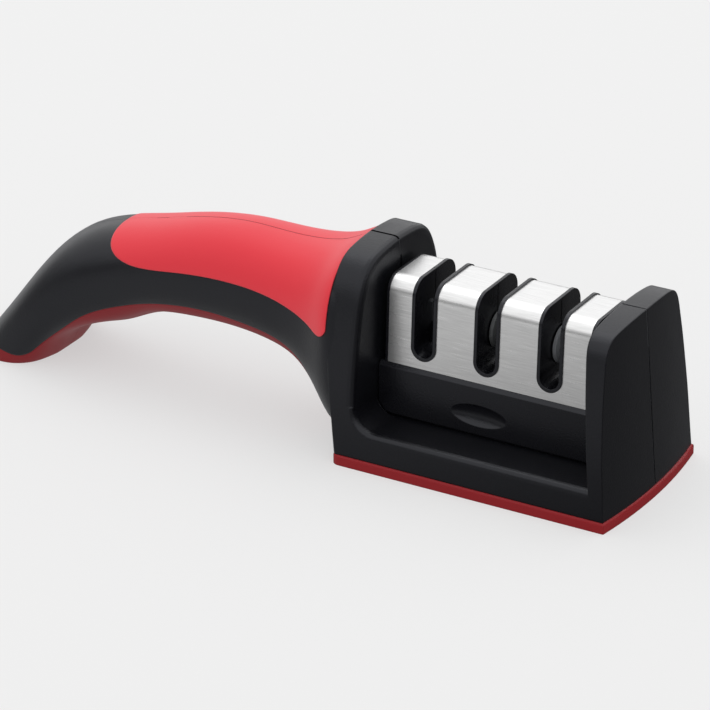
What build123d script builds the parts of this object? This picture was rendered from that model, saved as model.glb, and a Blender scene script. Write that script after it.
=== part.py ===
"""Pull-through knife sharpener with an arched handle and a lift-out sharpening cartridge.

Frame: X runs along the length, with the tail of the handle towards -X and the block towards +X.
The front is towards -Y and Z is up. The origin is the middle of the flat underside of the base pad.
All lengths are in millimetres. Names that end in share or shares are fractions of another size.
"""

import os
from math import copysign, cos, pi, radians, sin, sqrt, tan

from build123d import *

os.makedirs("parts", exist_ok=True)

# Driving dimensions of the block
pad_length = 81.0
pad_width = 53.8
pad_thickness = 2.9
pad_corner = 2.5
pad_edge_round = 0.7
body_inset = 0.3
end_bow = 2.2
near_corner_round = 2.2
end_corner_round = 2.0
end_lean = 4.8  # degrees
tower_height = 57.0
tower_outer = 43.7
tower_inner = 34.8
edge_round = 1.8
hip_depth = 0.3
hip_height = 51.2
end_block_height = 52.6
end_block_foot = 36.4
end_block_lean = 6.0  # degrees
sill_height = 10.7
cradle_half_width = 12.9
sill_corner = 6.4

# Driving dimensions of the handle
handle_length = 123.5
section_steps = 10
grip_thickness = 1.6
grip_proud = 0.2
join_depth = 2.7
join_clearance = 0.45
round_steps = 3
foot_thickness = 2.5
cavity_inset = 3.6
shell_wall = 2.3
tower_hollow_share = 0.9

# Driving dimensions of the cartridge
cartridge_middle = -2.2
cover_length = 59.3
cover_top = 49.9
cover_bottom = 26.0
cover_half_width = 11.6
cover_lean_share = 0.045
cover_round = 4.6
cover_sheet = 0.8
panel_half_width = 12.5
panel_left = 34.2
panel_right = 30.1
panel_edge_round = 0.6
panel_edge_cut = 1.1
end_plate = 0.9
running_gap = 0.3
slot_pitch = 18.7
slot_shift = -0.3
slot_outer = 7.4
slot_inner = 5.5
slot_bottom = 28.4
liner_proud = 0.35
dimple_length = 16.5
dimple_height = 6.2
dimple_depth = 1.3
dimple_rise = 16.9
dimple_shift = -1.7
guide_width = 4.0
guide_depth = 1.1
guide_top = 40.0
end_guide_width = 19.0
panel_wall = 2.0

# Driving dimensions of the sharpening tools
axle_height = 37.3
axle_radius = 1.5
axle_length = 11.5
wheel_radius = 5.2
wheel_bore_clearance = 0.05
wheel_gap = 0.3
wheel_cone_radius = 2.8
wheel_rim = 1.0
blade_thickness = 1.6
blade_width = 3.2
blade_length = 10.5
blade_angle = 24.0  # degrees
blade_cross_height = 33.6
blade_sink = 2.6
holder_half_depth = 7.4
holder_top = 32.2
holder_shoulder_drop = 2.8

# Driving dimensions of the fasteners
screw_radius = 1.35
screw_head_radius = 2.5
screw_head_height = 1.6
screw_clearance = 0.15
boss_radius = 3.4
driver_recess_share = 0.5
driver_length_share = 0.6
shell_screw_seat = 8.2
shell_screw_reach = 7.0
base_screw_along = 31.0
base_screw_across = 17.0
base_screw_tip = 9.7
cartridge_screw_along = 17.5
cartridge_screw_height = 18.0
cartridge_screw_seat = 9.6
cartridge_screw_reach = 6.5
plate_thickness = 2.5
plate_gap = 0.1

far = 3 * pad_length
pad_half = pad_width / 2
body_foot = pad_thickness

# Outlines of the block across its length: share of the pad's half width, share of the height
tower_shares = [
    (0.98, 0.05), (0.965, 0.17), (0.947, 0.33), (0.908, 0.5), (0.848, 0.668), (0.8, 0.776),
    (0.767, 0.826), (0.703, 0.888), (0.6, 0.945), (0.5, 0.973), (0.3, 0.992),
]
hip_shares = [
    (0.46, 0.05), (0.46, 0.17), (0.455, 0.33), (0.45, 0.5), (0.44, 0.668), (0.425, 0.776),
    (0.41, 0.83), (0.38, 0.89), (0.33, 0.94), (0.26, 0.97), (0.15, 0.99),
]
end_shares = [
    (0.98, 0.055), (0.965, 0.18), (0.947, 0.36), (0.908, 0.54), (0.855, 0.722), (0.82, 0.812),
    (0.795, 0.872), (0.745, 0.93), (0.66, 0.966), (0.53, 0.984), (0.3, 0.996),
]
# Front half of the section where the handle runs into the tower, from its top down to its underside
join_shares = [
    (0, 0.983), (0.47, 0.962), (0.62, 0.92), (0.735, 0.847), (0.812, 0.738), (0.897, 0.53),
    (0.94, 0.36), (0.925, 0.25), (0.83, 0.165), (0.58, 0.11), (0, 0.085),
]

# Stations along the handle. Each gives the upper and the lower point of one cross section in side
# view, as shares of the handle length and the tower height, then the half width as a share of the
# pad's half width, and how square the section is above and below.
station_shares = [
    (1.0, 0.0, 0.795, 0.0, 0.69, 2.5, 2.7),
    (0.958, 0.105, 0.785, 0.035, 0.69, 2.4, 2.9),
    (0.893, 0.285, 0.762, 0.118, 0.68, 2.3, 3.1),
    (0.815, 0.506, 0.718, 0.187, 0.65, 2.3, 2.9),
    (0.744, 0.655, 0.659, 0.235, 0.615, 2.3, 2.6),
    (0.671, 0.733, 0.602, 0.272, 0.585, 2.3, 2.4),
    (0.567, 0.79, 0.528, 0.343, 0.56, 2.3, 2.3),
    (0.436, 0.86, 0.421, 0.376, 0.545, 2.3, 2.3),
    (0.305, 0.898, 0.309, 0.376, 0.55, 2.3, 2.3),
    (0.205, 0.893, 0.209, 0.356, 0.58, 2.4, 2.4),
    (0.128, 0.897, 0.136, 0.31, 0.63, 2.5, 2.6),
    (0.059, 0.926, 0.073, 0.2, 0.74, 2.6, 2.8),
    (0.017, 0.968, 0.022, 0.088, 0.87, 2.7, 3.0),
]

# Edges of the two grips in side view, as shares of the handle length and the tower height
top_grip_shares = [
    (0.624, 0.768), (0.613, 0.711), (0.575, 0.665), (0.505, 0.654), (0.417, 0.675), (0.29, 0.691),
    (0.182, 0.676), (0.113, 0.646), (0.05, 0.612), (0.022, 0.606), (0.003, 0.645),
]
finger_grip_shares = [
    (1.02, 0.12), (0.93, 0.088), (0.865, 0.058), (0.838, 0.051), (0.815, 0.066), (0.791, 0.113),
    (0.735, 0.221), (0.682, 0.314),
    (0.576, 0.419), (0.472, 0.475), (0.367, 0.494), (0.262, 0.48), (0.156, 0.442), (0.098, 0.37),
    (0.06, 0.26), (0.035, 0.16),
]
grip_limit_shares = (-0.3, 1.3)

# Screws that join the two shells, along the handle and up, as shares like the grips
shell_screw_shares = [(0.61, 0.53), (0.39, 0.585), (0.17, 0.54)]


def block_outline(shares, height, at, inset=0):
    """Closed outline across the block at one place along it, through mirrored points."""
    near = [(pad_half * across - inset, (height - inset) * up) for across, up in shares]
    away = [(-across, up) for across, up in reversed(near)]
    with BuildSketch(Plane.YZ.offset(at)) as sketch:
        with BuildLine():
            Spline(*near, (0, height - inset), *away)
            Line(away[-1], near[0])
        make_face()
    return sketch.sketch


def side_point(along, up):
    """A point in side view from its shares."""
    return (-tower_outer - handle_length * along, tower_height * up)


def handle_section(station, inset):
    """The front half of one rounded cross section, on its own leaning plane.

    It runs a little past the middle plane, where the halves are cut apart later.
    """
    upper = Vector(*side_point(station[0], station[1]))
    lower = Vector(*side_point(station[2], station[3]))
    middle = (upper + lower) / 2
    rise = (upper - lower).normalized()
    tall = (upper - lower).length / 2 - inset
    wide = pad_half * station[4] - inset
    points = []
    for step in range(section_steps + 1):
        turn = pi * step / section_steps
        power = 2 / (station[5] if cos(turn) >= 0 else station[6])
        across = -wide * sin(turn) ** power
        upward = tall * copysign(abs(cos(turn)) ** power, cos(turn))
        points.append((across, upward))
    points[0], points[-1] = (0, tall), (0, -tall)
    plane = Plane(
        origin=(middle.X, 0, middle.Y), x_dir=(0, 1, 0), z_dir=(rise.Y, 0, -rise.X)
    )
    with BuildSketch(plane) as sketch:
        with BuildLine():
            Spline(*points, tangents=[(-1, 0), (1, 0)])
            Polyline(points[-1], (shell_wall, -tall), (shell_wall, tall), points[0])
        make_face()
    return sketch.sketch


def half_space(side):
    """Everything in front of the middle plane for -1, everything behind it for +1."""
    with BuildPart() as half:
        with Locations((0, side * far / 2, 0)):
            Box(2 * far, far, 2 * far)
    return half.part


front_half = half_space(-1)
rear_half = half_space(1)


def join_section(inset):
    """The front half of the handle's last section, just inside the tower's own outline."""
    low = tower_height * join_shares[-1][1]
    high = tower_height * join_shares[0][1]
    middle = (high + low) / 2
    slimmer = 1 - (inset + join_clearance) / pad_half
    lower = 1 - (inset + join_clearance) / (middle - low)
    points = [
        (-pad_half * across * slimmer, (tower_height * up - middle) * lower)
        for across, up in join_shares
    ]
    top = points[0][1]
    plane = Plane(origin=(join_depth - tower_outer, 0, middle), x_dir=(0, 1, 0), z_dir=(1, 0, 0))
    with BuildSketch(plane) as sketch:
        with BuildLine():
            Spline(*points, tangents=[(-1, 0), (1, 0)])
            Polyline(points[-1], (shell_wall, -top), (shell_wall, top), points[0])
        make_face()
    return sketch.sketch


def handle_form(inset, first=0):
    """The front half of the arched handle, made smaller all round by the inset."""
    sections = [handle_section(station, inset) for station in station_shares[first:]]
    with BuildPart() as form:
        loft(sections + [join_section(inset)])
    return form.part & front_half


def outline_prism(shares, height, inset=0):
    """A long prism along the block, with the block's outline made smaller by the inset."""
    with BuildPart() as prism:
        extrude(block_outline(shares, height, -far, inset), amount=2 * far)
    return prism.part


# The outer form of handle and block
rounding = []
for step in range(round_steps + 1):
    turn = pi / 2 * step / round_steps
    rounding.append((edge_round * (1 - sin(turn)), edge_round * (1 - cos(turn))))
tower_edge = -tower_inner - edge_round
with BuildPart() as tower:
    extrude(block_outline(tower_shares, tower_height, -tower_outer), amount=tower_outer + tower_edge)
    loft(
        [
            block_outline(tower_shares, tower_height, -tower_inner - depth, inset)
            for depth, inset in rounding
        ]
        + [block_outline(hip_shares, hip_height, hip_depth - tower_inner)],
        ruled=True,
    )

with BuildPart() as end_block:
    with BuildSketch(Plane.XZ.offset(-pad_half)):
        with BuildLine():
            shift = tower_height * tan(radians(end_block_lean))
            Polyline(
                (end_block_foot, 0), (end_block_foot - shift, tower_height),
                (pad_length, tower_height), (pad_length, 0), close=True,
            )
        make_face()
    extrude(amount=pad_width)
    add(outline_prism(end_shares, end_block_height), mode=Mode.INTERSECT)

sill_outer = pad_half * tower_shares[1][0]
foot_outer = pad_half * tower_shares[0][0]
sill_edge = [(sill_outer - inset, sill_height - depth) for depth, inset in rounding]
floor_profile = [(foot_outer, 0), (foot_outer, body_foot)] + sill_edge
floor_profile += [(-across, up) for across, up in reversed(floor_profile)]
with BuildPart() as floor:
    with BuildSketch(Plane.YZ.offset(-far)):
        with BuildLine():
            Polyline(*floor_profile, close=True)
        make_face()
    extrude(amount=far + end_block_foot)

corner_x = sill_corner - tower_inner
corner_z = sill_height + sill_corner


def corner_section(across, depth):
    """Side view of the rounded corner between sill and tower, at one place in front of the middle."""
    reach = sill_corner + depth
    on_arc = reach * sqrt(1 / 2)
    with BuildSketch(Plane.XZ.offset(across)) as sketch:
        with BuildLine():
            ThreePointArc(
                (corner_x, corner_z - reach), (corner_x - on_arc, corner_z - on_arc),
                (corner_x - reach, corner_z),
            )
            Polyline(
                (corner_x - reach, corner_z), (-tower_outer, corner_z), (-tower_outer, body_foot),
                (corner_x, body_foot), (corner_x, corner_z - reach),
            )
        make_face()
    return sketch.sketch


with BuildPart() as sill_corners:
    loft(
        [corner_section(sill_outer - inset, depth) for depth, inset in rounding]
        + [corner_section(cradle_half_width, 0)],
        ruled=True,
    )
    add(outline_prism(tower_shares, tower_height), mode=Mode.INTERSECT)


def end_plan(inset, near_round=near_corner_round, end_round=end_corner_round):
    """Plan of the block with bowed ends, smaller all round by the inset."""
    end = pad_length / 2 - inset
    side = pad_half - inset
    with BuildSketch() as sketch:
        with BuildLine():
            ThreePointArc((end, -side), (end + end_bow, 0), (end, side))
            Line((end, side), (-end, side))
            ThreePointArc((-end, side), (-end - end_bow, 0), (-end, -side))
            Line((-end, -side), (end, -side))
        make_face()
        corners = sketch.vertices().sort_by(Axis.X)
        fillet(corners[:2], near_round)
        fillet(corners[-2:], end_round)
    return sketch.sketch


def leaning_block(inset):
    """The plan of the block drawn upwards, leaning towards the handle."""
    with BuildPart() as block:
        extrude(
            end_plan(inset), amount=tower_height * 2,
            dir=(-sin(radians(end_lean)), 0, cos(radians(end_lean))),
        )
    return block.part


with BuildPart() as above_pad:
    with Locations((0, 0, body_foot)):
        Box(2 * far, far, far, align=(Align.CENTER, Align.CENTER, Align.MIN))

handle_outer = handle_form(0)
block_form = tower.part + floor.part + end_block.part + sill_corners.part
block_form = block_form & leaning_block(body_inset)
outer_form = handle_outer + (block_form & above_pad.part & front_half)

# Hollows inside the shells
with BuildPart() as block_hollow:
    Box(
        far, far, sill_height - shell_wall, align=(Align.CENTER, Align.CENTER, Align.MIN)
    )
with BuildPart() as tower_hollow:
    with BuildSketch(Plane.XZ.offset(-pad_half)):
        with Locations((-(tower_outer + tower_inner) / 2, 0)):
            Rectangle(
                tower_outer - tower_inner - shell_wall, tower_height * tower_hollow_share,
                align=(Align.CENTER, Align.MIN),
            )
    extrude(amount=pad_width)
leaning_inside = leaning_block(body_inset + shell_wall)
block_hollows = (block_hollow.part & leaning_inside) + (
    tower_hollow.part & outline_prism(tower_shares, tower_height, shell_wall) & leaning_inside
)
hollows = handle_form(cavity_inset, 2) + (block_hollows & front_half)

# Room for the soft grips, outside a smaller handle form
with BuildPart() as above_foot:
    with Locations((0, 0, foot_thickness)):
        Box(4 * far, far, far, align=(Align.CENTER, Align.CENTER, Align.MIN))
grip_floor = handle_form(grip_thickness) & above_foot.part


def grip_zone(shares, closing):
    """Region of one grip in side view, taken right across the handle, outside the grip floor."""
    with BuildPart() as zone:
        with BuildSketch(Plane.XZ.offset(-pad_half)):
            with BuildLine():
                edge = Spline(*[side_point(*pair) for pair in shares])
                Polyline(edge @ 1, *[side_point(*pair) for pair in closing], edge @ 0)
            make_face()
        extrude(amount=pad_width)
    return zone.part - grip_floor


lower_limit, upper_limit = grip_limit_shares
top_closing_shares = [(top_grip_shares[-1][0], upper_limit), (top_grip_shares[0][0], upper_limit)]
finger_closing_shares = [
    (finger_grip_shares[-1][0], lower_limit), (finger_grip_shares[0][0], lower_limit),
]
top_zone = grip_zone(top_grip_shares, top_closing_shares)
finger_zone = grip_zone(finger_grip_shares, finger_closing_shares)
top_grip = handle_form(-grip_proud) & top_zone
finger_grip = handle_outer & finger_zone
half_shell = outer_form - top_zone - finger_zone - hollows


def cross_cylinder(radius, x, z, first, last):
    """A cylinder that runs from front to rear between two depths."""
    with BuildPart() as cylinder:
        with BuildSketch(Plane.XZ.offset(-last)):
            with Locations((x, z)):
                Circle(radius)
        extrude(amount=last - first)
    return cylinder.part


def upright_cylinder(radius, x, y, first, last):
    """A cylinder that stands between two heights."""
    with BuildPart() as cylinder:
        with BuildSketch(Plane.XY.offset(first)):
            with Locations((x, y)):
                Circle(radius)
        extrude(amount=last - first)
    return cylinder.part


def screw(start, direction, length):
    """A cross-recess screw whose head sits behind the start point, its shank along the direction."""
    with BuildPart() as body:
        with BuildSketch(Plane(origin=start, z_dir=direction)):
            Circle(screw_radius)
        extrude(amount=length)
        with BuildSketch(Plane(origin=start, z_dir=direction)):
            Circle(screw_head_radius)
        extrude(amount=-screw_head_height)
        with BuildSketch(Plane(origin=start, z_dir=direction).offset(-screw_head_height)):
            Rectangle(2 * screw_head_radius * driver_length_share, screw_radius * driver_recess_share)
            Rectangle(screw_radius * driver_recess_share, 2 * screw_head_radius * driver_length_share)
        extrude(amount=screw_head_height * driver_recess_share, mode=Mode.SUBTRACT)
    return body.part


def joined(solids):
    """One part from several solids."""
    total = solids[0]
    for solid in solids[1:]:
        total = total + solid
    return total


# Screw bosses and screw holes of the shells
shell_screw_places = [side_point(*pair) for pair in shell_screw_shares]
bosses = joined(
    [cross_cylinder(boss_radius, x, z, -pad_half, pad_half) for x, z in shell_screw_places]
) & grip_floor
base_screw_places = [
    (sign_x * base_screw_along, sign_y * base_screw_across)
    for sign_x in (-1, 1) for sign_y in (-1, 1)
]
plate_top = body_foot + plate_thickness
base_bosses = joined(
    [upright_cylinder(boss_radius, x, y, plate_top, sill_height) for x, y in base_screw_places]
)
base_holes = [
    upright_cylinder(screw_radius, x, y, plate_top, base_screw_tip) for x, y in base_screw_places
]
pilot_holes = [
    cross_cylinder(screw_radius, x, z, -shell_screw_reach - screw_radius, 0)
    for x, z in shell_screw_places
]
clearance_holes = [
    cross_cylinder(screw_radius + screw_clearance, x, z, 0, pad_half)
    for x, z in shell_screw_places
]
head_holes = [
    cross_cylinder(screw_head_radius + screw_clearance, x, z, shell_screw_seat, pad_half)
    for x, z in shell_screw_places
]

# Guides for the cartridge on the inner faces of the tower and the end block
cartridge_floor = sill_height + running_gap
with BuildPart() as guides:
    with Locations((-tower_inner, 0, sill_height)):
        Box(
            hip_depth + guide_depth, guide_width, guide_top - sill_height,
            align=(Align.MIN, Align.CENTER, Align.MIN),
        )
    with Locations((panel_right + running_gap, 0, sill_height)):
        Box(
            end_block_foot - panel_right, end_guide_width, guide_top - sill_height,
            align=(Align.MIN, Align.CENTER, Align.MIN),
        )

half_body = half_shell + bosses + ((base_bosses + guides.part) & front_half)

with BuildPart() as shell_front:
    add(half_body)
    for hole in base_holes + pilot_holes:
        add(hole, mode=Mode.SUBTRACT)
shell_front.part.label = "shell_front"

with BuildPart() as shell_rear:
    add(mirror(half_body, about=Plane.XZ))
    for hole in base_holes + clearance_holes + head_holes:
        add(hole, mode=Mode.SUBTRACT)
shell_rear.part.label = "shell_rear"

with BuildPart() as top_grip_front:
    add(top_grip)
top_grip_front.part.label = "top_grip_front"

with BuildPart() as top_grip_rear:
    add(mirror(top_grip, about=Plane.XZ))
top_grip_rear.part.label = "top_grip_rear"

with BuildPart() as finger_grip_front:
    add(finger_grip)
finger_grip_front.part.label = "finger_grip_front"

with BuildPart() as finger_grip_rear:
    add(mirror(finger_grip, about=Plane.XZ))
finger_grip_rear.part.label = "finger_grip_rear"

with BuildPart() as shell_screws:
    for x, z in shell_screw_places:
        add(screw((x, shell_screw_seat, z), (0, -1, 0), shell_screw_seat + shell_screw_reach))
shell_screws.part.label = "shell_screws"

# Bottom plate and the non-slip pad under it
screw_seat_height = plate_top - screw_head_height / 2
with BuildPart() as base_plate:
    with Locations((0, 0, body_foot)):
        Box(far, far, plate_thickness, align=(Align.CENTER, Align.CENTER, Align.MIN))
    add(leaning_block(body_inset + shell_wall + plate_gap), mode=Mode.INTERSECT)
    with BuildSketch(Plane.XY.offset(body_foot)):
        with Locations(*base_screw_places):
            Circle(screw_radius + screw_clearance)
    extrude(amount=plate_thickness, mode=Mode.SUBTRACT)
    with BuildSketch(Plane.XY.offset(body_foot)):
        with Locations(*base_screw_places):
            Circle(screw_head_radius + screw_clearance)
    extrude(amount=screw_seat_height - body_foot, mode=Mode.SUBTRACT)
base_plate.part.label = "base_plate"

with BuildPart() as base_screws:
    for x, y in base_screw_places:
        length = base_screw_tip - screw_radius / 2 - screw_seat_height
        add(screw((x, y, screw_seat_height), (0, 0, 1), length))
base_screws.part.label = "base_screws"

with BuildPart() as base_pad:
    with BuildSketch():
        add(end_plan(0, pad_corner, pad_corner))
    extrude(amount=pad_thickness)
    fillet(base_pad.edges().group_by(Axis.Z)[-1], pad_edge_round)
base_pad.part.label = "base_pad"


# The lift-out cartridge
cover_left = cartridge_middle - cover_length / 2
cover_right = cartridge_middle + cover_length / 2
slot_centres = [cartridge_middle + slot_shift + slot_pitch * step for step in (-1, 0, 1)]


def cover_outline(inset, at):
    """Cross section of the cover at one place along it, smaller by the inset."""
    foot = cover_half_width - inset
    crown = cover_half_width - cover_lean_share * (cover_top - cover_bottom) - inset
    with BuildSketch(Plane.YZ.offset(at)) as sketch:
        with BuildLine():
            Polyline(
                (-foot, cover_bottom), (-crown, cover_top - inset), (crown, cover_top - inset),
                (foot, cover_bottom), close=True,
            )
        make_face()
        fillet(sketch.vertices().group_by(Axis.Y)[-1], cover_round - inset)
    return sketch.sketch


def slot_prism(width, centre):
    """The shape of one knife slot, round below and open above, from front to rear."""
    middle = slot_bottom + slot_outer / 2
    with BuildPart() as prism:
        with BuildSketch(Plane.XZ.offset(-pad_half)):
            with Locations((centre, middle)):
                Circle(width / 2)
                Rectangle(width, tower_height - middle, align=(Align.CENTER, Align.MIN))
        extrude(amount=pad_width)
    return prism.part


slot_outers = joined([slot_prism(slot_outer, centre) for centre in slot_centres])
slot_inners = joined([slot_prism(slot_inner, centre) for centre in slot_centres])

with BuildPart() as steel_cover:
    extrude(cover_outline(0, cover_left), amount=cover_length)
    extrude(cover_outline(cover_sheet, cover_left), amount=cover_length, mode=Mode.SUBTRACT)
    add(slot_outers, mode=Mode.SUBTRACT)
steel_cover.part.label = "steel_cover"


def axle(centre):
    """A plain round axle across one slot."""
    with BuildPart() as rod:
        with BuildSketch(Plane.YZ.offset(centre - axle_length / 2)):
            with Locations((0, axle_height)):
                Circle(axle_radius)
        extrude(amount=axle_length)
    return rod.part


def blade(side):
    """One leaning carbide blade, in front of the middle for -1 and behind it for +1."""
    reach = blade_length / 2 - blade_sink
    lean = radians(blade_angle)
    place = Location(
        (
            slot_centres[0] + side * reach * sin(lean),
            side * (blade_thickness + wheel_gap) / 2,
            blade_cross_height + reach * cos(lean),
        ),
        (0, side * blade_angle, 0),
    )
    with BuildPart() as plate:
        with Locations(place):
            Box(blade_width, blade_thickness, blade_length)
    return plate.part


carbide_pair = [blade(-1), blade(1)]

with BuildPart() as blade_holder:
    with BuildSketch(Plane.XZ.offset(-holder_half_depth)):
        with BuildLine():
            half = slot_inner / 2
            left = slot_centres[0] - half
            right = slot_centres[0] + half
            middle_height = slot_bottom + slot_outer / 2
            Polyline(
                (right, middle_height - holder_shoulder_drop), (slot_centres[0], holder_top),
                (left, middle_height - holder_shoulder_drop), (left, 0), (right, 0), close=True,
            )
        make_face()
    extrude(amount=2 * holder_half_depth)
    add(slot_prism(slot_inner, slot_centres[0]), mode=Mode.INTERSECT)
    for plate in carbide_pair:
        add(plate, mode=Mode.SUBTRACT)
blade_holder.part.label = "blade_holder"

with BuildPart() as carbide_blade_front:
    add(carbide_pair[0])
carbide_blade_front.part.label = "carbide_blade_front"

with BuildPart() as carbide_blade_rear:
    add(carbide_pair[1])
carbide_blade_rear.part.label = "carbide_blade_rear"

with BuildPart() as diamond_axle:
    add(axle(slot_centres[1]))
diamond_axle.part.label = "diamond_axle"

with BuildPart() as ceramic_axle:
    add(axle(slot_centres[2]))
ceramic_axle.part.label = "ceramic_axle"

# The moulded frame inside the cover, with the slot linings, end plates and lower panel
panel_length = panel_left + panel_right
cartridge_screw_places = [
    (cartridge_middle + sign * cartridge_screw_along, cartridge_screw_height) for sign in (-1, 1)
]
with BuildPart() as frame_blank:
    extrude(cover_outline(cover_sheet, cover_left), amount=cover_length)
    extrude(cover_outline(0, cover_left - end_plate), amount=end_plate)
    extrude(cover_outline(0, cover_right), amount=end_plate)
panel_block = Pos((panel_right - panel_left) / 2, 0, (cartridge_floor + cover_bottom) / 2) * Box(
    panel_length, 2 * panel_half_width, cover_bottom - cartridge_floor
)
panel_edges = panel_block.edges().filter_by(Axis.X)
panel_block = chamfer(panel_edges.group_by(Axis.Z)[-1], panel_edge_cut)
panel_edges = panel_block.edges().filter_by(Axis.X)
panel_block = fillet(panel_edges.group_by(Axis.Z)[0], panel_edge_round)
liners = extrude(cover_outline(-liner_proud, cover_left), amount=cover_length) & slot_outers
panel_hollow = Pos(
    (panel_right - panel_left) / 2, 0, (cartridge_floor + cover_bottom) / 2 - panel_wall
) * Box(
    panel_length - 2 * panel_wall, 2 * (panel_half_width - panel_wall),
    cover_bottom - cartridge_floor,
)
cartridge_bosses = joined(
    [
        cross_cylinder(boss_radius, x, z, panel_wall - panel_half_width, panel_half_width - panel_wall)
        for x, z in cartridge_screw_places
    ]
)
cartridge_holes = joined(
    [
        cross_cylinder(screw_radius, x, z, -cartridge_screw_reach - screw_radius, 0)
        for x, z in cartridge_screw_places
    ]
    + [
        cross_cylinder(screw_radius + screw_clearance, x, z, 0, cartridge_screw_seat)
        for x, z in cartridge_screw_places
    ]
    + [
        cross_cylinder(screw_head_radius + screw_clearance, x, z, cartridge_screw_seat, pad_half)
        for x, z in cartridge_screw_places
    ]
)
with BuildPart() as guide_groove:
    with Locations((-panel_left, 0, cartridge_floor)):
        Box(
            2 * (guide_depth + running_gap), guide_width + 2 * running_gap,
            guide_top + running_gap - cartridge_floor,
            align=(Align.CENTER, Align.CENTER, Align.MIN),
        )


def dimple(side):
    """A shallow oval hollow for the thumb, cut with a slice of a large ball drawn out sideways."""
    half_height = dimple_height / 2
    ball_radius = (half_height**2 + dimple_depth**2) / (2 * dimple_depth)
    ball = scale(Sphere(ball_radius), by=(dimple_length / dimple_height, 1, 1))
    away = panel_half_width - dimple_depth + ball_radius
    return Pos(cartridge_middle + dimple_shift, side * away, dimple_rise) * ball


frame_whole = (
    (frame_blank.part + panel_block + liners - panel_hollow + cartridge_bosses)
    - slot_inners - cartridge_holes - guide_groove.part - dimple(-1) - dimple(1)
    - diamond_axle.part - ceramic_axle.part - carbide_pair[0] - carbide_pair[1]
)

with BuildPart() as cartridge_frame_front:
    add(frame_whole & front_half)
cartridge_frame_front.part.label = "cartridge_frame_front"

with BuildPart() as cartridge_frame_rear:
    add(frame_whole & rear_half)
cartridge_frame_rear.part.label = "cartridge_frame_rear"

with BuildPart() as cartridge_screws:
    for x, z in cartridge_screw_places:
        add(
            screw(
                (x, cartridge_screw_seat, z), (0, -1, 0),
                cartridge_screw_seat + cartridge_screw_reach,
            )
        )
cartridge_screws.part.label = "cartridge_screws"


def wheel(centre, side):
    """One conical wheel on its axle; the two cones of a pair face each other and form a V."""
    outer = slot_inner / 2 - running_gap
    inner = wheel_gap / 2
    bore = axle_radius + wheel_bore_clearance
    profile = [
        (outer, bore), (outer, wheel_radius), (outer - wheel_rim, wheel_radius),
        (inner, wheel_cone_radius), (inner, bore),
    ]
    with BuildPart() as body:
        with BuildSketch(Plane.XZ):
            with BuildLine():
                Polyline(
                    *[(centre + side * along, axle_height + out) for along, out in profile],
                    close=True,
                )
            make_face()
        revolve(axis=Axis((centre, 0, axle_height), (1, 0, 0)))
    return body.part


with BuildPart() as diamond_wheel_left:
    add(wheel(slot_centres[1], -1))
diamond_wheel_left.part.label = "diamond_wheel_left"

with BuildPart() as diamond_wheel_right:
    add(wheel(slot_centres[1], 1))
diamond_wheel_right.part.label = "diamond_wheel_right"

with BuildPart() as ceramic_wheel_left:
    add(wheel(slot_centres[2], -1))
ceramic_wheel_left.part.label = "ceramic_wheel_left"

with BuildPart() as ceramic_wheel_right:
    add(wheel(slot_centres[2], 1))
ceramic_wheel_right.part.label = "ceramic_wheel_right"

pieces = [
    shell_front, shell_rear, top_grip_front, top_grip_rear, finger_grip_front, finger_grip_rear,
    shell_screws, base_plate, base_screws, base_pad, steel_cover, cartridge_frame_front,
    cartridge_frame_rear, cartridge_screws, blade_holder, carbide_blade_front, carbide_blade_rear,
    diamond_axle, ceramic_axle, diamond_wheel_left, diamond_wheel_right, ceramic_wheel_left,
    ceramic_wheel_right,
]
for piece in pieces:
    export_step(piece.part, f"parts/{piece.part.label}.step")
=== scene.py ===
"""Looks of a pull-through knife sharpener: two-tone handle, lift-out cartridge under a brushed steel cover.

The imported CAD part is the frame. Every length that reaches Blender is in metres, in the part's own frame:
X runs from the tail of the handle to the block, the front is towards -Y and Z is up from the underside of
the base pad. Values given in millimetres are multiplied by MM.
"""

import bpy
import numpy as np
from mathutils import Matrix, Vector


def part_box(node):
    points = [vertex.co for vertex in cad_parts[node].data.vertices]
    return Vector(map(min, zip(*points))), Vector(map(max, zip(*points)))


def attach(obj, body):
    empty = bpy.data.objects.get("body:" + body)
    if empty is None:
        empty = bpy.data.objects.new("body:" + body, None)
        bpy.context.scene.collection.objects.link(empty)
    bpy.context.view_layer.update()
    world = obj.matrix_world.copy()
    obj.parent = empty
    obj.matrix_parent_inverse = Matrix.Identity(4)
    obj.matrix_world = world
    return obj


bl_info = {
    "name": "Knife Sharpener Looks",
    "version": (1, 0, 0),
    "blender": (4, 5, 0),
    "location": "3D View > Sidebar > Sharpener",
    "description": "Finishes, trim and studio of a pull-through knife sharpener",
    "category": "Object",
}

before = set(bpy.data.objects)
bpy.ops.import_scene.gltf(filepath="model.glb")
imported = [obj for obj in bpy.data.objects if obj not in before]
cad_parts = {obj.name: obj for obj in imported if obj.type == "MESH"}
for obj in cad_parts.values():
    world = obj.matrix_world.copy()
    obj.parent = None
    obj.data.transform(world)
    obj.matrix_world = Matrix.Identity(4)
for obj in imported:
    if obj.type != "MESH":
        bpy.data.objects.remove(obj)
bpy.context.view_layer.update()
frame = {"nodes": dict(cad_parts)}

MM = 0.001

# Paths of the parting lines in the middle plane, as millimetres along and up. They follow the outer faces,
# but the tower's line runs up to 0.12 mm under its inner face between the heights of 56 and 52.
TOWER_LINE = [
    (-43.6, 57.0), (-40.0, 57.0), (-36.5, 57.0), (-35.75, 56.8),
    (-35.2, 56.25), (-35.0, 55.5), (-34.5, 51.2), (-34.5, 41.0),
]
END_BLOCK_LINE = [(30.95, 52.6), (34.0, 52.6), (37.9, 52.6), (39.2, 38.0), (40.4, 24.0), (42.1, 3.4)]

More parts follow.
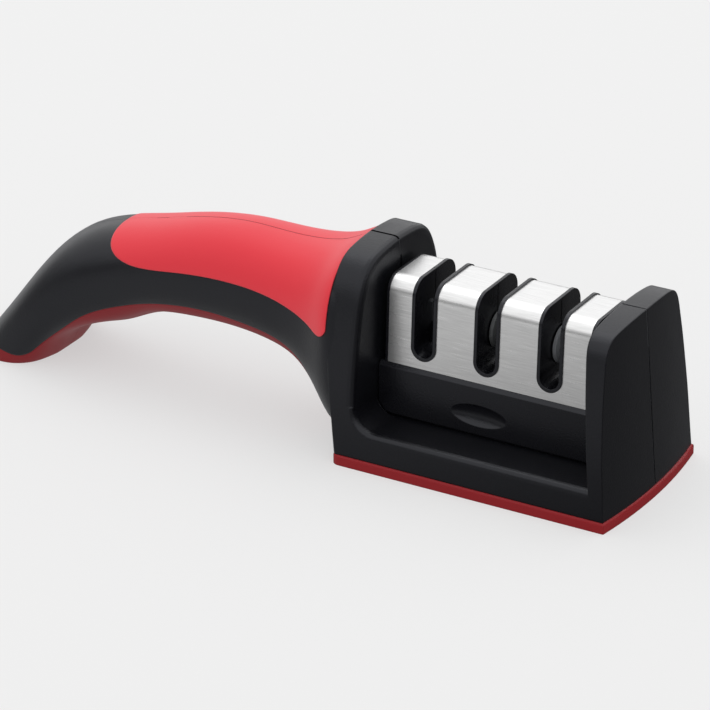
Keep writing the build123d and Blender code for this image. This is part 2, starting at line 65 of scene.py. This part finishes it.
# The left wall of the first slot, the distance from slot to slot, and the heights that a slot's line joins,
# in millimetres
SLOT_COUNT = 3
SLOT_WALL = -23.95
SLOT_PITCH = 18.7
SLOT_LINE_HEIGHTS = (49.6, 46.0, 36.0)

# How far the tower's top may be from its line, how close to the middle plane a vertex is read as being in
# it, and the step along X between two points of a crest, in millimetres
FACE_MATCH = 0.5
MIDDLE_PLANE_REACH = 0.05
CREST_STEP = 2.0

# Grain and scratches, in millimetres. The real ones are finer than the render can show, so they are drawn
# just coarse enough to be seen.
MOULD_GRAIN, MOULD_GRAIN_DEPTH = 0.5, 0.05
RUBBER_GRAIN, RUBBER_GRAIN_DEPTH = 0.5, 0.02
SCRATCH_LENGTH, SCRATCH_WIDTH, SCRATCH_DEPTH = 7.0, 0.3, 0.012
SCRATCH_SLANT = 0.03  # radians

# Moulded plastic is a little glossier in some patches than in others: their size in millimetres, and how
# far the roughness goes up and down
MOULD_PATCH = 9.0
MOULD_PATCH_DRIFT = 0.03

# The radius that light sees at the edges of moulded rubber, in millimetres
RUBBER_EDGE = 0.6

# Most of a noise lies between these two values, which are spread over a tone or a roughness
NOISE_LOW, NOISE_HIGH = 0.3, 0.7

# Colours of shines that aren't a part's own colour
PLASTIC_SHINE = (0.9, 0.92, 1.0, 1.0)
PLASTIC_SHEEN = (0.85, 0.9, 1.0, 1.0)
RUBBER_SHEEN = (1.0, 0.8, 0.82, 1.0)
WHITE = (1, 1, 1, 1)

# The floor: half its side in metres, and the share of its light that is its own glow. In reflections its
# brightness goes from the first to the second value as X + Y goes over the two places, in metres.
FLOOR_HALF = 6.0
FLOOR_GLOW_SHARE = 0.6
FLOOR_SHINE = (0.66, 0.12)
FLOOR_SHINE_PLACES = (-0.2, 0.03)

# The sky: along each axis of the direction, its brightness share goes from the third to the fourth value
# between the first and the second. Its strength, from grey to bright, for matt and for shiny surfaces.
SKY_HEIGHT = (0.12, 0.4, 0.0, 1.0)
SKY_DEPTH = (-0.1, 0.4, 0.0, 1.0)
SKY_SIDE = (0.1, 0.5, 1.0, 0.1)
SKY_MATT = (0.45, 1.0)
SKY_SHINY = (0.12, 1.16)

# The softbox and the camera, in metres and watts, with the lens and its sensor in millimetres
SOFTBOX_PLACE = (-0.3, 0.5, 1.4)
SOFTBOX_SIZE = (1.4, 1.0)
SOFTBOX_POWER = 5.0
SOFTBOX_AIM = (0, 0, 0.02)
CAMERA_PLACE = (0.438905, -0.846792, 0.484304)
CAMERA_RIGHT = (0.866637, 0.498939, 0.0)
CAMERA_AHEAD = (-0.450484, 0.782443, -0.429939)
CAMERA_SENSOR = 36.0
CAMERA_LENS = 202.82
CAMERA_NEAR, CAMERA_FAR = 0.05, 40.0


def linear(code):
    """An sRGB hex value as linear red, green and blue: the standard curve, straight near black."""
    value = np.array([int(code[i : i + 2], 16) for i in (1, 3, 5)]) / 255
    curve = np.where(value > 0.04045, ((value + 0.055) / 1.055) ** 2.4, value / 12.92)
    return tuple(float(v) for v in curve)


def rgba(colour):
    """A colour of three values with full opacity."""
    return (*colour, 1.0)


def per_mm(size):
    """How many repeats a metre holds of a pattern whose features are size millimetres apart."""
    return 1.0 / (size * MM)


def colour_property(name, description, code):
    """A colour that a user may change, with its default given as an sRGB hex value."""
    return bpy.props.FloatVectorProperty(
        name=name, description=description, subtype="COLOR", size=3, min=0, max=1, default=linear(code)
    )


def length_property(name, description, millimetres):
    """A length that a user may change, with its default given in millimetres."""
    return bpy.props.FloatProperty(
        name=name, description=description, default=millimetres * MM, unit="LENGTH"
    )


class SharpenerColours(bpy.types.PropertyGroup):
    """Colours of the moulded, pressed and ground parts."""

    shell: colour_property("Shell", "Black of the two handle and block halves", "#08080c")
    frame: colour_property("Frame", "Black of the cartridge frame", "#0d0d11")
    grip: colour_property("Top grip", "Red of the soft grip over the handle", "#e02e3b")
    # The finger grip's red is the top grip's rubber painted darker: painted shade for the underside of the
    # handle, which faces away from the light
    shaded_under_grip: colour_property("Finger grip", "Red of the soft grip under the handle", "#80121a")
    # The pad's red is darker than the grip's: painted shade for the low faces of the pad under the block
    pad: colour_property("Base pad", "Red of the non-slip pad", "#8e1119")
    steel: colour_property("Steel", "Brushed steel of the cover", "#eaeaea")
    # The fine wheels' grey is partly the alumina's own tone and partly painted shade from inside the slots
    # where they sit
    ceramic: colour_property("Ceramic", "Grey of the fine wheels", "#7c7e82")
    grit: colour_property("Diamond grit", "Grey of the coated wheels", "#77797a")
    carbide: colour_property("Carbide", "Grey of the sintered blades", "#8d8f92")
    screw: colour_property("Screws", "Zinc of the screws", "#b9bcc0")
    grip_seam: colour_property("Grip seam", "Red in the shade of the top grip's moulding seam", "#a01c28")
    seam: colour_property("Parting lines", "Shadow in the parting lines", "#060607")
    floor: colour_property("Floor", "Studio floor", "#f1f1f1")
    board: colour_property("Board", "The matt board under the floor's glow", "#e2e2e2")


class SharpenerSizes(bpy.types.PropertyGroup):
    """Sizes of the parting lines."""

    seam_width: length_property("Parting line", "Width of the open parting line on the tower", 0.6)
    seam_fine: length_property("Tight parting line", "Width of the closed parting lines", 0.2)
    # A parting line is a thin strip of painted shade that stands a little over the faces
    seam_rise: length_property("Rise", "How far a parting line's filling stands over the faces", 0.03)


def add_node(tree, kind, at, inputs=None, **settings):
    """Adds one node at a place in the tree, sets its settings, and gives its sockets a value or a link."""
    node = tree.nodes.new(kind)
    node.location = at
    for name, value in settings.items():
        setattr(node, name, value)
    for key, value in (inputs or {}).items():
        socket = node.inputs[key]
        if isinstance(value, bpy.types.NodeSocket):
            tree.links.new(value, socket)
        else:
            socket.default_value = value
    return node


def new_material(name):
    """A node material with an output and no shader yet."""
    material = bpy.data.materials.new(name)
    material.use_nodes = True
    material.node_tree.nodes.clear()
    return material


def finish_material(material, shader):
    """Joins a shader to the material's output."""
    add_node(material.node_tree, "ShaderNodeOutputMaterial", (700, 0), {"Surface": shader.outputs[0]})
    return material


def spread(low, high, source):
    """Inputs of a Map Range node that takes a noise to values from low to high."""
    return {
        "Value": source, "From Min": NOISE_LOW, "From Max": NOISE_HIGH, "To Min": low, "To Max": high
    }


def moulded_plastic(name, colour, roughness, gloss, sheen, edge_mm):
    """ABS moulded in a metal tool: an even fine grain, and edges a little rounded.

    A spark-eroded tool gives a soft sheen that is palest at a low angle, a polished one a clearer gloss.
    """
    material = new_material(name)
    tree = material.node_tree
    place = add_node(tree, "ShaderNodeTexCoord", (-900, 0))
    grain = add_node(
        tree,
        "ShaderNodeTexNoise",
        (-700, -100),
        {
            "Vector": place.outputs["Object"],
            "Scale": per_mm(MOULD_GRAIN),
            "Detail": 2.0,
            "Roughness": 0.6,
        },
    )
    patch = add_node(
        tree,
        "ShaderNodeTexNoise",
        (-700, 200),
        {"Vector": place.outputs["Object"], "Scale": per_mm(MOULD_PATCH), "Detail": 3.0},
    )
    rough = add_node(
        tree,
        "ShaderNodeMapRange",
        (-450, 200),
        spread(roughness - MOULD_PATCH_DRIFT, roughness + MOULD_PATCH_DRIFT, patch.outputs["Fac"]),
    )
    edge = add_node(tree, "ShaderNodeBevel", (-450, -400), {"Radius": edge_mm * MM}, samples=10)
    bump = add_node(
        tree,
        "ShaderNodeBump",
        (-200, -200),
        {
            "Height": grain.outputs["Fac"],
            "Distance": MOULD_GRAIN_DEPTH * MM,
            "Strength": 1.0,
            "Normal": edge.outputs["Normal"],
        },
    )
    shader = add_node(
        tree,
        "ShaderNodeBsdfPrincipled",
        (300, 0),
        {
            "Base Color": rgba(colour),
            "Roughness": rough.outputs["Result"],
            "Specular IOR Level": gloss,
            "Specular Tint": PLASTIC_SHINE,
            "Sheen Weight": sheen,
            "Sheen Roughness": 0.3,
            "Sheen Tint": PLASTIC_SHEEN,
            "Normal": bump.outputs["Normal"],
        },
    )
    return finish_material(material, shader)


def soft_rubber(name, colour, roughness, sheen):
    """TPR overmoulded on the handle: even colour, matt with a broad soft sheen and a very fine grain."""
    material = new_material(name)
    tree = material.node_tree
    place = add_node(tree, "ShaderNodeTexCoord", (-900, 0))
    grain = add_node(
        tree,
        "ShaderNodeTexNoise",
        (-700, -100),
        {
            "Vector": place.outputs["Object"],
            "Scale": per_mm(RUBBER_GRAIN),
            "Detail": 2.0,
            "Roughness": 0.6,
        },
    )
    edge = add_node(tree, "ShaderNodeBevel", (-450, -400), {"Radius": RUBBER_EDGE * MM}, samples=6)
    bump = add_node(
        tree,
        "ShaderNodeBump",
        (-200, -200),
        {
            "Height": grain.outputs["Fac"],
            "Distance": RUBBER_GRAIN_DEPTH * MM,
            "Strength": 1.0,
            "Normal": edge.outputs["Normal"],
        },
    )
    shader = add_node(
        tree,
        "ShaderNodeBsdfPrincipled",
        (300, 0),
        {
            "Base Color": rgba(colour),
            "Roughness": roughness,
            "Specular IOR Level": 0.3,
            "Sheen Weight": sheen,
            "Sheen Roughness": 0.5,
            "Sheen Tint": RUBBER_SHEEN,
            "Normal": bump.outputs["Normal"],
        },
    )
    return finish_material(material, shader)


def brushed_steel(name, colour):
    """Stainless steel brushed along the length: long fine scratches that spread the shine across them."""
    material = new_material(name)
    tree = material.node_tree
    place = add_node(tree, "ShaderNodeTexCoord", (-1300, 0))
    stretch = add_node(
        tree,
        "ShaderNodeMapping",
        (-1100, 0),
        {
            "Vector": place.outputs["Object"],
            "Scale": (per_mm(SCRATCH_LENGTH), per_mm(SCRATCH_WIDTH), per_mm(SCRATCH_WIDTH)),
            "Rotation": (0.0, SCRATCH_SLANT, 0.0),
        },
    )
    streak = add_node(
        tree,
        "ShaderNodeTexNoise",
        (-900, 0),
        {"Vector": stretch.outputs["Vector"], "Scale": 1.0, "Detail": 4.0, "Roughness": 0.65},
    )
    tone = add_node(
        tree, "ShaderNodeMapRange", (-500, 200), spread(0.82, 1.0, streak.outputs["Fac"])
    )
    shade = add_node(
        tree,
        "ShaderNodeMix",
        (-200, 200),
        {"Factor": 1.0, "A": rgba(colour), "B": tone.outputs["Result"]},
        data_type="RGBA",
        blend_type="MULTIPLY",
    )
    rough = add_node(
        tree, "ShaderNodeMapRange", (-500, -100), spread(0.36, 0.26, streak.outputs["Fac"])
    )
    bump = add_node(
        tree,
        "ShaderNodeBump",
        (-200, -250),
        {"Height": streak.outputs["Fac"], "Distance": SCRATCH_DEPTH * MM, "Strength": 1.0},
    )
    shader = add_node(
        tree,
        "ShaderNodeBsdfPrincipled",
        (300, 0),
        {
            "Base Color": shade.outputs["Result"],
            "Metallic": 1.0,
            "Roughness": rough.outputs["Result"],
            "Normal": bump.outputs["Normal"],
        },
    )
    return finish_material(material, shader)


def plain_solid(name, colour, roughness, metallic, grain, gloss=0.5):
    """A ground, plated or sintered solid: a fine speckle in its colour, and the same speckle as relief.

    The grain is the size and the depth of the speckle, in millimetres.
    """
    grain_size, grain_depth = grain
    material = new_material(name)
    tree = material.node_tree
    place = add_node(tree, "ShaderNodeTexCoord", (-900, 0))
    speckle = add_node(
        tree,
        "ShaderNodeTexNoise",
        (-700, 0),
        {
            "Vector": place.outputs["Object"],
            "Scale": per_mm(grain_size),
            "Detail": 3.0,
            "Roughness": 0.7,
        },
    )
    tone = add_node(
        tree, "ShaderNodeMapRange", (-450, 200), spread(0.85, 1.05, speckle.outputs["Fac"])
    )
    shade = add_node(
        tree,
        "ShaderNodeMix",
        (-200, 200),
        {"Factor": 1.0, "A": rgba(colour), "B": tone.outputs["Result"]},
        data_type="RGBA",
        blend_type="MULTIPLY",
    )
    bump = add_node(
        tree,
        "ShaderNodeBump",
        (-200, -200),
        {"Height": speckle.outputs["Fac"], "Distance": grain_depth * MM, "Strength": 1.0},
    )
    shader = add_node(
        tree,
        "ShaderNodeBsdfPrincipled",
        (300, 0),
        {
            "Base Color": shade.outputs["Result"],
            "Metallic": metallic,
            "Roughness": roughness,
            "Specular IOR Level": gloss,
            "Normal": bump.outputs["Normal"],
        },
    )
    return finish_material(material, shader)


def middle_path(along, up):
    """A path in the middle plane from its places along X and up Z, both in millimetres."""
    along, up = np.broadcast_arrays(np.asarray(along, float), np.asarray(up, float))
    return np.stack([along, np.zeros(len(up)), up], axis=1) * MM


def crest(name):
    """The line along the top of a node in the middle plane.

    Of the vertices in the middle plane, it takes the highest one in each equal step along X. The first and
    the last step are left out, because the node may fill only a part of them.
    """
    node = frame["nodes"][name]
    vertices = node.data.vertices
    flat = np.empty(3 * len(vertices))
    vertices.foreach_get("co", flat)
    turn = np.array(node.matrix_world)
    points = flat.reshape(-1, 3) @ turn[:3, :3].T + turn[:3, 3]
    points = points[np.abs(points[:, 1]) < MIDDLE_PLANE_REACH * MM]
    step = np.floor(points[:, 0] / (CREST_STEP * MM))
    top = [points[step == at][np.argmax(points[step == at][:, 2])] for at in np.unique(step)]
    return np.array(top)[1:-1] * (1, 0, 1)


def parting_line(name, path, width, rise, material):
    """A thin strip of painted shade along a path in the middle plane.

    At each path point p with the tangent t, the normal n is t turned a quarter in the middle plane. The
    four corners of the section are p + s*width/2 along Y + u*rise along n, with s and u each -1 or +1.
    """
    tangent = np.gradient(path, axis=0)
    tangent /= np.linalg.norm(tangent, axis=1, keepdims=True)
    normal = np.stack([-tangent[:, 2], np.zeros(len(path)), tangent[:, 0]], axis=1)
    corners = np.array([(-1, -1), (1, -1), (1, 1), (-1, 1)], float)
    side = np.array([0.0, 1.0, 0.0])
    verts = (
        path[:, None, :]
        + corners[None, :, :1] * width / 2 * side
        + corners[None, :, 1:] * rise * normal[:, None, :]
    ).reshape(-1, 3)
    ring = 4 * np.arange(len(path) - 1)[:, None]
    step = np.arange(4)[None, :]
    after = (step + 1) % 4
    walls = np.stack([ring + step, ring + after, ring + 4 + after, ring + 4 + step], axis=2)
    last = 4 * (len(path) - 1)
    faces = walls.reshape(-1, 4).tolist() + [[3, 2, 1, 0], [last, last + 1, last + 2, last + 3]]
    mesh = bpy.data.meshes.new(name)
    mesh.from_pydata(verts.tolist(), [], faces)
    mesh.validate()
    mesh.materials.append(material)
    piece = bpy.data.objects.new(name, mesh)
    bpy.context.scene.collection.objects.link(piece)
    return piece


def studio_board(name, colour, matt_colour):
    """A matt painted board: its plain colour, part of it as an even glow that softens the shadows.

    In reflections it is darker towards the rear right, as a board that ends there would be.
    """
    material = new_material(name)
    tree = material.node_tree
    place = add_node(tree, "ShaderNodeTexCoord", (-1100, -300))
    part = add_node(tree, "ShaderNodeSeparateXYZ", (-900, -300), {"Vector": place.outputs["Object"]})
    along = add_node(
        tree,
        "ShaderNodeMath",
        (-700, -300),
        {0: part.outputs["X"], 1: part.outputs["Y"]},
        operation="ADD",
    )
    fade = add_node(
        tree,
        "ShaderNodeMapRange",
        (-500, -300),
        {
            "Value": along.outputs[0],
            "From Min": FLOOR_SHINE_PLACES[0],
            "From Max": FLOOR_SHINE_PLACES[1],
            "To Min": FLOOR_SHINE[0],
            "To Max": FLOOR_SHINE[1],
        },
    )
    path = add_node(tree, "ShaderNodeLightPath", (-500, 300))
    matt = add_node(
        tree, "ShaderNodeBsdfDiffuse", (-200, 100), {"Color": rgba(matt_colour), "Roughness": 0.0}
    )
    glow = add_node(tree, "ShaderNodeEmission", (-200, -50), {"Color": rgba(colour), "Strength": 1.0})
    mixed = add_node(
        tree,
        "ShaderNodeMixShader",
        (50, 50),
        {0: FLOOR_GLOW_SHARE, 1: matt.outputs[0], 2: glow.outputs[0]},
    )
    mirror = add_node(
        tree, "ShaderNodeEmission", (50, -150), {"Color": WHITE, "Strength": fade.outputs["Result"]}
    )
    shader = add_node(
        tree,
        "ShaderNodeMixShader",
        (300, 0),
        {0: path.outputs["Is Glossy Ray"], 1: mixed.outputs[0], 2: mirror.outputs[0]},
    )
    return finish_material(material, shader)


def studio_sky(tree):
    """A white dome that is greyer low down in front and to the right, where no softbox stands.

    It is bright above a low height, and low down at the rear left. Shiny surfaces see more contrast in it.
    """
    tree.nodes.clear()
    place = add_node(tree, "ShaderNodeTexCoord", (-900, 0))
    part = add_node(tree, "ShaderNodeSeparateXYZ", (-700, 0), {"Vector": place.outputs["Generated"]})
    height, depth, side = (
        add_node(
            tree,
            "ShaderNodeMapRange",
            at,
            {
                "Value": part.outputs[axis],
                "From Min": start,
                "From Max": end,
                "To Min": first,
                "To Max": last,
            },
            interpolation_type="SMOOTHSTEP",
        )
        for axis, at, (start, end, first, last) in (
            ("Z", (-450, 150), SKY_HEIGHT),
            ("Y", (-450, -100), SKY_DEPTH),
            ("X", (-450, -350), SKY_SIDE),
        )
    )
    rear = add_node(
        tree,
        "ShaderNodeMath",
        (-200, -200),
        {0: depth.outputs[0], 1: side.outputs[0]},
        operation="MULTIPLY",
    )
    bright = add_node(
        tree, "ShaderNodeMath", (0, 0), {0: height.outputs[0], 1: rear.outputs[0]}, operation="MAXIMUM"
    )
    matt, shiny = (
        add_node(
            tree, "ShaderNodeMapRange", at, {"Value": bright.outputs[0], "To Min": grey, "To Max": full}
        )
        for at, (grey, full) in (((200, 100), SKY_MATT), ((200, -200), SKY_SHINY))
    )
    path = add_node(tree, "ShaderNodeLightPath", (200, 400))
    strength = add_node(
        tree,
        "ShaderNodeMix",
        (400, 100),
        {0: path.outputs["Is Glossy Ray"], 2: matt.outputs[0], 3: shiny.outputs[0]},
        data_type="FLOAT",
    )
    sky = add_node(
        tree, "ShaderNodeBackground", (600, 0), {"Color": WHITE, "Strength": strength.outputs[0]}
    )
    add_node(tree, "ShaderNodeOutputWorld", (800, 0), {"Surface": sky.outputs[0]})


def dress(nodes, material):
    """Gives CAD nodes a finish, in every material slot that they have."""
    for name in nodes:
        materials = frame["nodes"][name].data.materials
        if not materials:
            materials.append(material)
        for i in range(len(materials)):
            materials[i] = material


class SHARPENER_OT_shells(bpy.types.Operator):
    """Finishes the two black halves of the handle and block, and the plate under it"""

    bl_idname = "sharpener.shells"
    bl_label = "Shell halves"

    def execute(self, context):
        black = context.scene.sharpener_colours.shell
        plastic = moulded_plastic(
            "abs_spark_eroded", black, roughness=0.36, gloss=0.42, sheen=0.06, edge_mm=0.7
        )
        dress(["shell_front", "shell_rear", "base_plate"], plastic)
        return {"FINISHED"}


class SHARPENER_OT_grips(bpy.types.Operator):
    """Finishes the red soft grips and the base pad"""

    bl_idname = "sharpener.grips"
    bl_label = "Grips and pad"

    def execute(self, context):
        colours = context.scene.sharpener_colours
        top = soft_rubber("tpr_overmoulded_top", colours.grip, roughness=0.5, sheen=0.25)
        # The finger grip uses the top grip's rubber in a darker red, as painted shade for the underside of
        # the handle
        under = soft_rubber("tpr_overmoulded_under", colours.shaded_under_grip, roughness=0.5, sheen=0.0)
        # The pad is darker than the top grip, as painted shade under the block
        pad = soft_rubber("tpr_moulded_pad", colours.pad, roughness=0.45, sheen=0.0)
        dress(["top_grip_front", "top_grip_rear"], top)
        dress(["finger_grip_front", "finger_grip_rear"], under)
        dress(["base_pad"], pad)
        return {"FINISHED"}


class SHARPENER_OT_cartridge(bpy.types.Operator):
    """Finishes the cartridge frame and its steel cover"""

    bl_idname = "sharpener.cartridge"
    bl_label = "Cartridge"

    def execute(self, context):
        colours = context.scene.sharpener_colours
        plastic = moulded_plastic(
            "abs_polished", colours.frame, roughness=0.27, gloss=0.42, sheen=0.0, edge_mm=0.3
        )
        dress(["cartridge_frame_front", "cartridge_frame_rear", "blade_holder"], plastic)
        dress(["steel_cover"], brushed_steel("stainless_brushed", colours.steel))
        return {"FINISHED"}


class SHARPENER_OT_tools(bpy.types.Operator):
    """Finishes the wheels, the blades, their axles and the screws"""

    bl_idname = "sharpener.tools"
    bl_label = "Wheels and blades"

    def execute(self, context):
        colours = context.scene.sharpener_colours
        # The ceramic grey holds painted shade from inside the slot as well as the wheel's own tone
        ceramic = plain_solid(
            "alumina_ground", colours.ceramic, roughness=0.5, metallic=0.0, grain=(0.3, 0.01)
        )
        diamond = plain_solid(
            "diamond_plated", colours.grit, roughness=0.45, metallic=0.6, grain=(0.25, 0.03)
        )
        carbide = plain_solid(
            "carbide_ground", colours.carbide, roughness=0.3, metallic=1.0, grain=(0.4, 0.005)
        )
        zinc = plain_solid(
            "zinc_plated_turned", colours.screw, roughness=0.32, metallic=1.0, grain=(0.5, 0.005)
        )
        dress(["ceramic_wheel_left", "ceramic_wheel_right"], ceramic)
        dress(["diamond_wheel_left", "diamond_wheel_right"], diamond)
        dress(["carbide_blade_front", "carbide_blade_rear"], carbide)
        dress(["diamond_axle", "ceramic_axle", "shell_screws", "base_screws", "cartridge_screws"], zinc)
        return {"FINISHED"}


class SHARPENER_OT_seams(bpy.types.Operator):
    """Adds the parting lines of the two shells, of the slot linings and of the top grip"""

    bl_idname = "sharpener.seams"
    bl_label = "Parting lines"

    def execute(self, context):
        colours = context.scene.sharpener_colours
        sizes = context.scene.sharpener_sizes
        tower_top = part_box("shell_front")[1][2]
        if abs(tower_top - TOWER_LINE[0][1] * MM) > FACE_MATCH * MM:
            raise RuntimeError("The tower's top isn't where its parting line is")
        # A line is painted shade: a strip as dark and as matt as the shade in a narrow gap
        shade = plain_solid(
            "shadow_in_parting_line",
            colours.seam,
            roughness=0.9,
            metallic=0.0,
            grain=(0.4, 0.002),
            gloss=0.0,
        )
        tower = parting_line(
            "parting_line_tower", middle_path(*zip(*TOWER_LINE)), sizes.seam_width, sizes.seam_rise, shade
        )
        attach(tower, "body")
        end_block = parting_line(
            "parting_line_end_block",
            middle_path(*zip(*END_BLOCK_LINE)),
            sizes.seam_fine,
            sizes.seam_rise,
            shade,
        )
        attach(end_block, "body")
        for index in range(SLOT_COUNT):
            path = middle_path(SLOT_WALL + SLOT_PITCH * index, SLOT_LINE_HEIGHTS)
            name = f"parting_line_slot_{index + 1}"
            line = parting_line(name, path, sizes.seam_fine, sizes.seam_rise, shade)
            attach(line, "cartridge")
        # The grip's parting line is a strip of darker red: painted shade in the seam of the top grip
        grip_seam_shade = soft_rubber("tpr_grip_seam_painted_shade", colours.grip_seam, roughness=0.5, sheen=0.0)
        grip = parting_line(
            "parting_line_grip", crest("top_grip_front"), sizes.seam_fine, sizes.seam_rise, grip_seam_shade
        )
        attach(grip, "body")
        return {"FINISHED"}


class SHARPENER_OT_studio(bpy.types.Operator):
    """Adds the floor, the softbox, the sky and the camera"""

    bl_idname = "sharpener.studio"
    bl_label = "Studio"

    def execute(self, context):
        scene = context.scene
        colours = scene.sharpener_colours
        mesh = bpy.data.meshes.new("studio_floor")
        corners = [(FLOOR_HALF * x, FLOOR_HALF * y, 0) for x, y in ((-1, -1), (1, -1), (1, 1), (-1, 1))]
        mesh.from_pydata(corners, [], [(0, 1, 2, 3)])
        floor = bpy.data.objects.new("studio_floor", mesh)
        scene.collection.objects.link(floor)
        mesh.materials.append(studio_board("painted_board_matt", colours.floor, colours.board))

        world = bpy.data.worlds.new("studio_sky")
        scene.world = world
        world.use_nodes = True
        studio_sky(world.node_tree)

        light = bpy.data.lights.new("overhead_softbox", "AREA")
        light.shape = "RECTANGLE"
        light.size, light.size_y = SOFTBOX_SIZE
        light.energy = SOFTBOX_POWER
        lamp = bpy.data.objects.new("overhead_softbox", light)
        aim = Vector(SOFTBOX_AIM) - Vector(SOFTBOX_PLACE)
        facing = aim.to_track_quat("-Z", "Y").to_matrix().to_4x4()
        lamp.matrix_world = Matrix.Translation(SOFTBOX_PLACE) @ facing
        scene.collection.objects.link(lamp)

        lens = bpy.data.cameras.new("studio_camera")
        lens.sensor_width = CAMERA_SENSOR
        lens.lens = CAMERA_LENS
        lens.clip_start, lens.clip_end = CAMERA_NEAR, CAMERA_FAR
        camera = bpy.data.objects.new("studio_camera", lens)
        right = Vector(CAMERA_RIGHT).normalized()
        ahead = Vector(CAMERA_AHEAD).normalized()
        right = (right - ahead * right.dot(ahead)).normalized()
        turn = Matrix((right, right.cross(ahead), -ahead)).transposed().to_4x4()
        camera.matrix_world = Matrix.Translation(CAMERA_PLACE) @ turn
        scene.collection.objects.link(camera)
        scene.camera = camera
        scene.view_settings.view_transform = "Standard"
        return {"FINISHED"}


OPERATORS = (
    SHARPENER_OT_shells,
    SHARPENER_OT_grips,
    SHARPENER_OT_cartridge,
    SHARPENER_OT_tools,
    SHARPENER_OT_seams,
    SHARPENER_OT_studio,
)


class SHARPENER_PT_looks(bpy.types.Panel):
    """Lists the pieces of the sharpener, with their colours and sizes"""

    bl_label = "Knife sharpener"
    bl_idname = "SHARPENER_PT_looks"
    bl_space_type = "VIEW_3D"
    bl_region_type = "UI"
    bl_category = "Sharpener"

    def draw(self, context):
        for operator in OPERATORS:
            self.layout.operator(operator.bl_idname)
        for name in SharpenerColours.__annotations__:
            self.layout.prop(context.scene.sharpener_colours, name)
        for name in SharpenerSizes.__annotations__:
            self.layout.prop(context.scene.sharpener_sizes, name)


CLASSES = (SharpenerColours, SharpenerSizes, *OPERATORS, SHARPENER_PT_looks)


def register():
    """Registers the classes and hangs the properties on the scene."""
    for cls in CLASSES:
        bpy.utils.register_class(cls)
    bpy.types.Scene.sharpener_colours = bpy.props.PointerProperty(type=SharpenerColours)
    bpy.types.Scene.sharpener_sizes = bpy.props.PointerProperty(type=SharpenerSizes)


def unregister():
    """Takes the properties and classes away again."""
    del bpy.types.Scene.sharpener_sizes
    del bpy.types.Scene.sharpener_colours
    for cls in reversed(CLASSES):
        bpy.utils.unregister_class(cls)


def main():
    """Builds every piece and the studio."""
    register()
    bpy.ops.sharpener.shells()
    bpy.ops.sharpener.grips()
    bpy.ops.sharpener.cartridge()
    bpy.ops.sharpener.tools()
    bpy.ops.sharpener.seams()
    bpy.ops.sharpener.studio()


if __name__ == "__main__":
    main()
